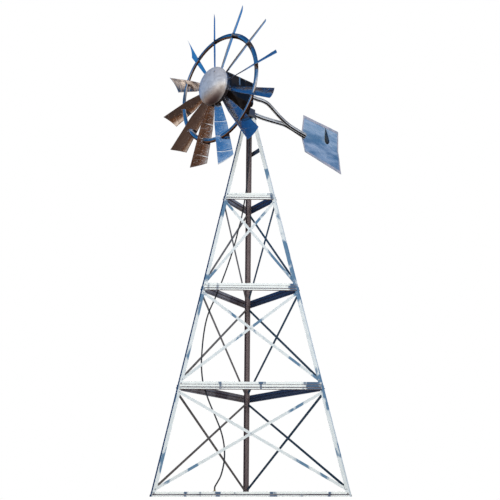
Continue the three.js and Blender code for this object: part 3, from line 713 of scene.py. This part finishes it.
def makeHousing():
    size = housing
    bm = bmesh.new()
    outline = [(size["rear"], size["top"]), (size["rear"], size["blockTop"]),
               (size["blockFront"], size["blockTop"]), (size["blockFront"], size["bottom"]),
               (size["bottomFront"], size["bottom"]), (size["front"], size["noseBottom"]),
               (size["front"], size["top"])]
    rim = drawLine(bm, [(x, -size["halfWidth"], z) for x, z in outline], closed=True)
    side = bmesh.ops.edgeloop_fill(bm, edges=rim)["faces"]
    grown = bmesh.ops.extrude_face_region(bm, geom=side)
    bmesh.ops.translate(bm, vec=(0, 2 * size["halfWidth"], 0),
                        verts=[item for item in grown["geom"] if isinstance(item, bmesh.types.BMVert)])
    for flip in (-1, 1):
        corner = Vector((0, flip * size["halfWidth"], size["chamferTop"]))
        low = Vector((0, flip * size["bottomHalf"], size["bottom"]))
        normal = (corner - low).cross(Vector((flip, 0, 0))).normalized()
        if normal.y * flip < 0:
            normal = -normal
        cut = bmesh.ops.bisect_plane(bm, geom=bm.verts[:] + bm.edges[:] + bm.faces[:], plane_co=corner,
                                     plane_no=normal, clear_outer=True)
        rim = [item for item in cut["geom_cut"] if isinstance(item, bmesh.types.BMEdge)]
        bmesh.ops.holes_fill(bm, edges=rim, sides=0)
    bmesh.ops.recalc_face_normals(bm, faces=bm.faces)
    sharp = [edge for edge in bm.edges if len(edge.link_faces) == 2 and edge.calc_face_angle() > 0.3]
    bmesh.ops.bevel(bm, geom=sharp, offset=0.004, segments=3, profile=0.5, material=-1, affect="EDGES")
    finishPiece(bm, "headHousing", "head", "black_paint", stands=["casing"], space=headSpace, smooth=False)


def makeHousingTrim():
    size = housing
    bm = bmesh.new()
    lid = Matrix.Translation(((size["rear"] + size["front"]) / 2, 0, size["top"] - 0.012))
    addBlock(bm, lid @ Matrix.Diagonal((size["front"] - size["rear"] + 0.004, 2 * size["halfWidth"] + 0.006,
                                        0.026, 1)), 0.003, 2)
    finishPiece(bm, "housingLid", "head", "black_paint", space=headSpace, smooth=False)
    bm = bmesh.new()
    for flip in (-1, 1):
        strap = Matrix.Translation((size["strapAt"], flip * (size["halfWidth"] + 0.0035),
                                    size["top"] - 0.002 - size["strapDrop"] / 2))
        addBlock(bm, strap @ Matrix.Diagonal((size["strapWidth"], 0.003, size["strapDrop"], 1)), 0.001, 2)
    finishPiece(bm, "housingStraps", "head", "girt_steel", space=headSpace, smooth=False)
    bm = bmesh.new()
    for flip in (-1, 1):
        facing = Vector((0, flip, 0))
        wall = flip * size["halfWidth"]
        for x in size["lidBolts"]:
            addBolt(bm, Vector((x, wall + flip * 0.003, size["top"] - 0.014)), facing, 0.007)
        for x, z in size["sideBolts"]:
            addBolt(bm, Vector((x, wall, z)), facing, 0.008)
        addBolt(bm, Vector((size["strapAt"], wall + flip * 0.005, size["top"] - 0.084)), facing, 0.007)
    for y in (-0.075, 0.075):
        for z in (0.150, 0.350):
            addBolt(bm, Vector((size["rear"], y, z)), Vector((-1, 0, 0)), 0.008)
    finishPiece(bm, "housingBolts", "head", "bolt_zinc", space=headSpace, smooth=False)


arm = {
    "height": 0.060, "depth": 0.022, "ridge": 0.008, "sheet": 0.0028,
    # side views in millimetres: distance back from the mast, height above its cap
    "upper": [(-29.7, 272), (90, 272), (190, 282), (285, 270), (392, 216), (529, 150), (651, 111), (792, 89),
              (935, 73)],
    "lower": [(48.3, 77), (200, 77), (400, 94), (560, 110), (680, 103), (800, 83), (940, 56)],
    "upperOut": 0.0226, "lowerOut": 0.0003, "stepsPerSpan": 8,
    "upperBolts": ((-20, 272), (20, 272)), "lowerBolts": ((-64, 77), (-90, 77))}


def armSection():
    # the sheet's middle line over the arm: flange, rounded shoulder, crown with a shallow groove
    half, rise = arm["height"] / 2, arm["depth"] - arm["sheet"]
    ridge = arm["ridge"]
    side = [(half, 0), (half - ridge * 0.8, 0), (half - ridge * 1.15, rise * 0.12),
            (half - ridge * 1.75, rise * 0.86), (half - ridge * 2.1, rise), (half - ridge * 2.7, rise),
            (half - ridge * 3.1, rise - 0.004)]
    return side + [(-u, v) for u, v in reversed(side)]


def makeArm(name, line, out, node):
    points = [Vector((-back / 1000, 0, above / 1000)) for back, above in line]
    stations = smoothLine(points, arm["stepsPerSpan"])
    bm = bmesh.new()
    spaces = []
    for i, place in enumerate(stations):
        ahead = stations[min(i + 1, len(stations) - 1)] - stations[max(i - 1, 0)]
        spaces.append(Matrix.Translation(place + Vector((0, out + arm["sheet"] / 2, 0)))
                      @ Matrix.Rotation(math.atan2(ahead.z, -ahead.x), 4, "Y"))
    edges = drawLine(bm, [(0, v, u) for u, v in armSection()])
    bmesh.ops.transform(bm, matrix=spaces[0], verts=bm.verts)
    for before, after in zip(spaces, spaces[1:]):
        verts, edges = growRow(bm, edges)
        bmesh.ops.transform(bm, matrix=after @ before.inverted(), verts=verts)
    piece = finishPiece(bm, name, "head", "arm_steel", stands=[node], space=headSpace)
    thicken(piece, arm["sheet"], bevel=0.0008)


vane = {
    "sheet": 0.002, "fold": 0.022, "hemSheet": 0.0014, "hemLift": 0.0016,
    # corners in millimetres: distance back from the mast, height above its cap
    "corners": {"topFront": (933, 351), "topRear": (1592, 329), "creaseFront": (910, 71),
                "creaseRear": (1610, 72), "bottomFront": (949, -135), "bottomRear": (1628, -245)},
    # each hem: how far along, how far down, and its number of cells
    "hems": (((0, 1), (0.004, 0.125), (28, 2)), ((0, 1), (1.87, 1.996), (28, 2)),
             ((0.968, 0.998), (0.1, 1.9), (2, 22)), ((0.002, 0.028), (0.1, 1.9), (2, 22)))}


def vanePoint(along, down, lift=0.0):
    # along runs from the front edge to the rear, down from 0 at the top over 1 at the crease to 2
    corner = {name: Vector((-back / 1000, 0, above / 1000))
              for name, (back, above) in vane["corners"].items()}
    top = corner["topFront"].lerp(corner["topRear"], along)
    crease = corner["creaseFront"].lerp(corner["creaseRear"], along) - Vector((0, vane["fold"], 0))
    bottom = corner["bottomFront"].lerp(corner["bottomRear"], along)
    place = top.lerp(crease, down) if down < 1 else crease.lerp(bottom, down - 1)
    ripple = 0.0025 * noise.noise(Vector((along * 2.4, down * 2.1, 4.2)))
    return place + Vector((0, ripple + lift - vane["sheet"] / 2, 0))


def vaneStrip(bm, alongRange, downRange, segments, lift):
    made = bmesh.ops.create_grid(bm, x_segments=segments[0], y_segments=segments[1], size=1)
    for vert in made["verts"]:
        along = alongRange[0] + (alongRange[1] - alongRange[0]) * (vert.co.x + 1) / 2
        down = downRange[0] + (downRange[1] - downRange[0]) * (vert.co.y + 1) / 2
        vert.co = vanePoint(along, down, lift)


def makeVane():
    bm = bmesh.new()
    vaneStrip(bm, (0, 1), (0, 2), (28, 24), 0)
    piece = finishPiece(bm, "tailVane", "head", "vane_sheet", stands=["tail_vane"], space=headSpace,
                        smooth=False)
    thicken(piece, vane["sheet"], bevel=0.0004)
    bm = bmesh.new()
    for alongRange, downRange, segments in vane["hems"]:
        for lift in (vane["hemLift"], -vane["hemLift"]):
            vaneStrip(bm, alongRange, downRange, segments, lift)
    hems = finishPiece(bm, "vaneHems", "head", "vane_hem", space=headSpace, smooth=False)
    thicken(hems, vane["hemSheet"])


emblem = {"along": 0.68, "down": 0.56, "radius": 0.042, "length": 0.165, "lean": 14, "sheet": 0.0012}


def makeEmblem():
    # a plain water drop painted on the vane
    bm = bmesh.new()
    centre = vanePoint(emblem["along"], emblem["down"])
    made = bmesh.ops.create_circle(bm, cap_ends=True, segments=40, radius=emblem["radius"])
    for vert in made["verts"]:
        x, y = vert.co.x, vert.co.y
        if y > 0:
            lift = y / emblem["radius"]
            x *= (1 - lift) ** 0.5 if lift < 1 else 0
            y = emblem["length"] * lift ** 1.2
        vert.co = Vector((x, 0, y))
    lean = Matrix.Rotation(math.radians(emblem["lean"]), 4, "Y")
    tilt = Matrix.Rotation(-math.atan2(vane["fold"], 0.28), 4, "X")
    bmesh.ops.transform(bm, matrix=Matrix.Translation(centre + Vector((0, 0.0026, -0.04))) @ tilt @ lean,
                        verts=bm.verts)
    piece = finishPiece(bm, "vaneEmblem", "head", "emblem_paint", space=headSpace)
    thicken(piece, emblem["sheet"])


def makeTailBolts():
    bm = bmesh.new()
    towards = Vector((0, 1, 0))
    for along, down in ((0.014, 0.97), (0.032, 0.95)):
        place = vanePoint(along, down)
        addBolt(bm, place + Vector((0, 0.048, 0)), towards, 0.008)
        addBolt(bm, place - Vector((0, 0.004, 0)), -towards, 0.008)
    for bolts, out in ((arm["upperBolts"], arm["upperOut"]), (arm["lowerBolts"], arm["lowerOut"])):
        for x, above in bolts:
            addBolt(bm, Vector((x / 1000, out + arm["depth"], above / 1000)), towards, 0.008)
    finishPiece(bm, "tailBolts", "head", "bolt_zinc", space=headSpace, smooth=False)


# tower

girt = {"sheet": 0.0026, "flat": 0.028, "step": 0.010, "groove": 0.005, "lip": 0.011, "cells": 12}
sill = {"sheet": 0.0026, "flat": 0.024, "step": 0.009, "groove": 0.0, "cells": 12}
faceTurns = {"front": 0, "right": 120, "left": -120}
towerBolts = {"inset": 0.018, "proud": 0.0032, "sillHeight": 0.034, "capReach": 0.056, "capCount": 6}


def towerTurn(side):
    return (Matrix.Translation(mastAxis) @ Matrix.Rotation(math.radians(faceTurns[side]), 4, "Z")
            @ Matrix.Translation(-mastAxis))


def frontFace(z):
    # the front face's outer plane and half width at a height, from the two ends of the front left leg
    spots = [vert.co for vert in frame["nodes"]["leg_front_left"].data.vertices]
    top = max(spot.z for spot in spots)
    planes, edges = [], []
    for upper in (False, True):
        end = [spot for spot in spots if (spot.z > top / 2) == upper]
        planes.append(min(spot.y for spot in end))
        edges.append(min(spot.x for spot in end if spot.y < planes[-1] + 0.0005))
    share = z / top
    return planes[0] + (planes[1] - planes[0]) * share, abs(edges[0] + (edges[1] - edges[0]) * share)


def girtSection(form, top, bottom):
    # the sheet's middle line from the top edge down, with the bands at the bends and edges that get painted shade
    sheet, groove = form["sheet"], form["groove"]
    stepTop = top - form["flat"]
    proud = -form["step"] - sheet / 2
    section = [(-sheet / 2, top), (-sheet / 2, stepTop + 0.004), (-sheet / 2 + 0.002, stepTop),
               (proud, stepTop - 0.004)]
    shadeBands = [(top - 0.003, top + 0.1)]
    if groove:
        band = (stepTop - 0.006 + bottom) / 2
        section += [(proud, band + 0.006), (proud + groove, band + 0.003), (proud + groove, band - 0.003),
                    (proud, band - 0.006), (proud, bottom + 0.0065), (proud + 0.003, bottom + sheet / 2),
                    (proud + form["lip"], bottom + sheet / 2)]
        shadeBands += [(stepTop - 0.004, stepTop + 0.005), (band - 0.0055, band + 0.0055),
                  (bottom - 0.1, bottom + 0.006)]
    else:
        section += [(proud, stepTop - 0.010), (proud, bottom)]
        shadeBands += [(stepTop - 0.011, stepTop + 0.005)]
    return section, shadeBands


def makeGirt(node, like, side, form):
    low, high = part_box(like)
    half = (high.x - low.x) / 2
    section, shadeBands = girtSection(form, high.z, low.z)
    bm = bmesh.new()
    edges = drawLine(bm, [(-half, frontFace(z)[0] - 0.0003 + out, z) for out, z in section])
    for _ in range(form["cells"]):
        verts, edges = growRow(bm, edges)
        bmesh.ops.translate(bm, vec=(2 * half / form["cells"], 0, 0), verts=verts)
    # faces in the painted-shade bands take slot 1, the painted-shade steel
    for face in bm.faces:
        middle = face.calc_center_median().z
        face.material_index = int(any(start < middle < end for start, end in shadeBands))
    piece = finishPiece(bm, "formed_" + node, "tower", "girt_steel", stands=[node], space=towerTurn(side),
                        smooth=False, facing=towerTurn(side).to_3x3() @ Vector((0, -1, 0)))
    piece.data.materials.append(finishes["shaded_steel"])
    thicken(piece, form["sheet"], bevel=0.0007)
    # the inner side of the sheet takes slot 1 too: painted shade
    piece.modifiers["wall"].material_offset = 1


def makeTowerBolts():
    size = towerBolts
    bm = bmesh.new()
    for side in faceTurns:
        turn = towerTurn(side)
        out = (turn.to_3x3() @ Vector((0, -1, 0)))
        for level in (1, 2, 3):
            low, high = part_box(f"girt_front_{level}")
            for z, proud in ((high.z - 0.014, size["proud"]), (low.z + 0.020, size["proud"] + girt["step"])):
                plane, half = frontFace(z)
                for x in (-half + size["inset"], half - size["inset"]):
                    addBolt(bm, turn @ Vector((x, plane - proud, z)), out, 0.008)
        plane, half = frontFace(size["sillHeight"])
        for x in (-half + size["inset"], half - size["inset"]):
            addBolt(bm, turn @ Vector((x, plane - size["proud"], size["sillHeight"])), out, 0.008)
        for bay in (1, 2, 3):
            low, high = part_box(f"brace_front_{bay}")
            lowZ, highZ = low.z + 0.012, high.z - 0.012
            lowPlane, lowHalf = frontFace(lowZ)
            highPlane, highHalf = frontFace(highZ)
            lowX, highX = lowHalf - 0.021, highHalf - 0.021
            for x, z, plane in ((lowX, lowZ, lowPlane), (highX, highZ, highPlane)):
                addBolt(bm, turn @ Vector((x, plane, z)), out, 0.007)
                addBolt(bm, turn @ Vector((-x, plane, z)), out, 0.007)
            cross = lowZ + (highZ - lowZ) * lowX / (lowX + highX)
            plane, _ = frontFace(cross)
            addBolt(bm, turn @ Vector((0, plane + 0.0032, cross)), out, 0.008)
            addBolt(bm, turn @ Vector((0, plane + 0.0096, cross)), -out, 0.008, washer=False)
    for turn in range(size["capCount"]):
        angle = math.radians(30 + 360 / size["capCount"] * turn)
        reach = size["capReach"]
        place = mastAxis + Vector((reach * math.cos(angle), reach * math.sin(angle), capTop))
        addBolt(bm, place, Vector((0, 0, 1)), 0.0065)
    finishPiece(bm, "towerBolts", "tower", "bolt_zinc", smooth=False)


def paintFrame():
    slots = {row["node"]: row["material_slot"] for row in frame["record"]["subparts"]}
    for name, node in frame["nodes"].items():
        node.data.materials.clear()
        finish = slots[name]
        # the back leg and the side braces take painted-shade copies of the leg steel
        if name == "leg_back":
            finish = "shaded_back_leg"
        elif name.startswith(("brace_left", "brace_right")):
            finish = "shaded_brace"
        node.data.materials.append(finishes[finish])


# floor, sky and lights

sky = {
    "front": [(0.0, (0.07, 0.03, 0.015)), (0.40, (0.12, 0.052, 0.026)), (0.485, (0.26, 0.19, 0.16)),
              (0.50, (1.15, 1.15, 1.10)), (0.58, (1.0, 1.02, 1.05)), (0.655, (0.42, 0.62, 0.90)),
              (0.72, (0.06, 0.25, 0.60)), (0.80, (0.03, 0.16, 0.44)), (1.0, (0.012, 0.08, 0.26))],
    "left": [(0.0, (0.08, 0.035, 0.018)), (0.30, (0.15, 0.06, 0.025)), (0.40, (0.85, 0.68, 0.54)),
             (0.47, (0.42, 0.34, 0.30)), (0.50, (0.04, 0.05, 0.07)), (0.55, (0.04, 0.13, 0.28)),
             (0.62, (0.04, 0.26, 0.66)), (0.75, (0.03, 0.20, 0.52)), (1.0, (0.012, 0.08, 0.26))],
    "right": [(0.0, (0.09, 0.055, 0.045)), (0.40, (0.12, 0.08, 0.07)), (0.485, (0.10, 0.09, 0.09)),
              (0.50, (0.20, 0.19, 0.19)), (0.55, (0.40, 0.46, 0.54)), (0.62, (0.10, 0.34, 0.74)),
              (0.75, (0.03, 0.18, 0.52)), (1.0, (0.012, 0.08, 0.26))],
    "speckle": 10.0, "even": (0.56, 0.56, 0.55, 1), "backdrop": (1.0, 1.0, 1.0, 1), "strength": 1.0}


def makeSky():
    world = bpy.data.worlds.new("sky")
    scene.world = world
    world.use_nodes = True
    tree = world.node_tree
    tree.nodes.clear()
    way = addNode(tree, "ShaderNodeTexCoord").outputs["Generated"]
    axes = addNode(tree, "ShaderNodeSeparateXYZ", {"Vector": way})
    height = addNode(tree, "ShaderNodeMapRange",
                     {"Value": axes.outputs["Z"], "From Min": -1.0, "From Max": 1.0})

    def band(stops):
        ramp = addNode(tree, "ShaderNodeValToRGB", {"Fac": height.outputs["Result"]})
        parts = ramp.color_ramp.elements
        while len(parts) < len(stops):
            parts.new(0.5)
        for part, (place, colour) in zip(parts, stops):
            part.position = place
            part.color = (*colour, 1)
        return ramp.outputs["Color"]

    def towards(x, y):
        aim = addNode(tree, "ShaderNodeVectorMath", {0: way, 1: (x, y, 0)}, operation="DOT_PRODUCT")
        return addNode(tree, "ShaderNodeMapRange",
                       {"Value": aim.outputs["Value"], "From Min": 0.25, "From Max": 0.75},
                       interpolation_type="SMOOTHSTEP").outputs["Result"]

    colour = mixColour(tree, towards(-0.86, 0.5), band(sky["front"]), band(sky["left"]))
    colour = mixColour(tree, towards(0.86, 0.5), colour, band(sky["right"]))
    cloud = addNode(tree, "ShaderNodeTexNoise", {"Vector": way, "Scale": sky["speckle"], "Detail": 5.0})
    uneven = addNode(tree, "ShaderNodeMapRange",
                     {"Value": cloud.outputs["Fac"], "From Min": 0.35, "From Max": 0.65, "To Min": 0.2,
                      "To Max": 2.4})
    low = addNode(tree, "ShaderNodeMapRange",
                  {"Value": axes.outputs["Z"], "From Min": 0.0, "From Max": -0.12})
    share = mixNumber(tree, low.outputs["Result"], 1.0, uneven.outputs["Result"])
    scaled = addNode(tree, "ShaderNodeVectorMath", {0: colour, "Scale": share}, operation="SCALE")
    colour = scaled.outputs["Vector"]
    # matt surfaces are lit by an even pale sky, mirrors see the blue one
    ray = addNode(tree, "ShaderNodeLightPath").outputs
    colour = mixColour(tree, ray["Is Diffuse Ray"], colour, sky["even"])
    colour = mixColour(tree, ray["Is Camera Ray"], colour, sky["backdrop"])
    light = addNode(tree, "ShaderNodeBackground", {"Color": colour, "Strength": sky["strength"]})
    addNode(tree, "ShaderNodeOutputWorld", {"Surface": light.outputs["Background"]})


floor = {"size": 14, "pale": (1.0, 1.0, 1.0, 1), "earth": (0.12, 0.060, 0.032, 1),
         "damp": (0.06, 0.036, 0.03, 1)}


def makeFloor():
    # pale where it is looked at, earth where the metal mirrors it
    material, tree, shader = newMaterial("paleFloor")
    spot = addNode(tree, "ShaderNodeTexCoord").outputs["Object"]
    cloud = addNode(tree, "ShaderNodeTexNoise", {"Vector": spot, "Scale": 0.8, "Detail": 4.0})
    ground = mixColour(tree, cloud.outputs["Fac"], floor["earth"], floor["damp"])
    tree.links.new(ground, shader.inputs["Base Color"])
    shader.inputs["Roughness"].default_value = 0.9
    pale = addNode(tree, "ShaderNodeEmission", {"Color": floor["pale"]})
    seen = addNode(tree, "ShaderNodeLightPath").outputs["Is Camera Ray"]
    both = addNode(tree, "ShaderNodeMixShader",
                   {"Fac": seen, 1: shader.outputs["BSDF"], 2: pale.outputs["Emission"]})
    tree.links.new(both.outputs["Shader"], tree.nodes["Material Output"].inputs["Surface"])
    bm = bmesh.new()
    bmesh.ops.create_grid(bm, x_segments=1, y_segments=1, size=floor["size"] / 2)
    mesh = bpy.data.meshes.new("paleFloor")
    bm.to_mesh(mesh)
    bm.free()
    mesh.materials.append(material)
    piece = bpy.data.objects.new("paleFloor", mesh)
    scene.collection.objects.link(piece)


lamps = {
    "key": {"place": (4.5, -7.5, 6.5), "size": 4.0, "power": 760, "colour": (1.0, 0.97, 0.93)},
    "fill": {"place": (-6.5, -6.0, 3.5), "size": 5.0, "power": 380, "colour": (1.0, 0.98, 0.96)},
    "back": {"place": (2.0, 8.0, 7.0), "size": 5.0, "power": 220, "colour": (0.95, 0.97, 1.0)}}


def makeLamps():
    middle = (cadBox[0] + cadBox[1]) / 2
    for name, lamp in lamps.items():
        data = bpy.data.lights.new(name, "AREA")
        data.shape = "DISK"
        data.size = lamp["size"]
        data.energy = lamp["power"]
        data.color = lamp["colour"]
        piece = bpy.data.objects.new(name, data)
        piece.location = lamp["place"]
        piece.rotation_euler = (middle - Vector(lamp["place"])).to_track_quat("-Z", "Y").to_euler()
        piece.visible_glossy = False
        scene.collection.objects.link(piece)


# everything in order

makeCamera()
makeHose()
paintFrame()
makeBlades()
makeHoop()
makeHoopClips()
makeBowl()
makeDrum()
print("wheel done")
makeHousing()
makeHousingTrim()
makeArm("tailArmUpper", arm["upper"], arm["upperOut"], "tail_arm_upper")
makeArm("tailArmLower", arm["lower"], arm["lowerOut"], "tail_arm_lower")
makeVane()
makeEmblem()
makeTailBolts()
print("head and tail done")
for face in faceTurns:
    makeGirt(f"sill_{face}", "sill_front", face, sill)
    for bay in (1, 2, 3):
        makeGirt(f"girt_{face}_{bay}", f"girt_front_{bay}", face, girt)
makeTowerBolts()
print("tower done")
makeSky()
makeFloor()
makeLamps()
